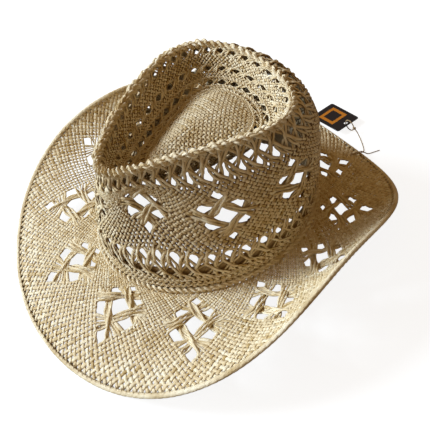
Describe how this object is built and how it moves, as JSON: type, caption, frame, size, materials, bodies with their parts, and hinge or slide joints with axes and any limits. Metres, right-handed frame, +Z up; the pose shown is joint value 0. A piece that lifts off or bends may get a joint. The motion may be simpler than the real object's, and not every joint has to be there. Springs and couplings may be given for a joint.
{
  "type": "cowboy hat",
  "caption": "Openwork woven straw western hat with a pinched teardrop crown, a curled and wired brim, an inner sweatband and a card tag on a string.",
  "frame": {"origin": "centre of the hat's bounding box at the level of the surface it stands on, without the swing tag and its string", "axes": "+Z up, -Y to the front of the hat, +X to the wearer's left. The hat stands on the front and the back of its brim, so its foot is pitched about 3 degrees."},
  "size_m": [0.3241, 0.367, 0.1484],
  "materials": {
    "straw": "twisted paper straw, woven, matte with a faint sheen",
    "straw_cord": "two-ply twisted straw cord",
    "straw_hem": "straw folded over the wire",
    "wire": "drawn steel",
    "thread": "sewing thread",
    "sweatband": "ribbed tape",
    "label": "woven label",
    "string": "twisted string",
    "card": "printed card"
  },
  "bodies": {
    "hat": {"crown_wall": "straw", "crown_tip": "straw", "brim": "straw", "rim_twine": "straw_cord", "tip_twine_outer": "straw_cord", "tip_twine_middle": "straw_cord", "tip_twine_inner": "straw_cord", "foot_cord": "straw_cord", "brim_hem": "straw_hem", "brim_wire": "wire", "wire_sleeve": "wire", "hem_stitching": "thread", "sweatband": "sweatband", "sweatband_stitching": "thread", "sweatband_tape": "sweatband", "size_label": "label", "tag_string": "string", "tag_string_tail": "string", "tag_loop": "string", "tag_knot": "string", "stop_knot": "string"},
    "tag": {"hang_tag": "card"}
  },
  "joints": [
    {"name": "tag_swing", "type": "hinge", "parent": "hat", "child": "tag", "pos_m": [-0.002, 0.1845, 0.0061], "axis": [0, 1, 0], "range_deg": [0, 120]}
  ]
}
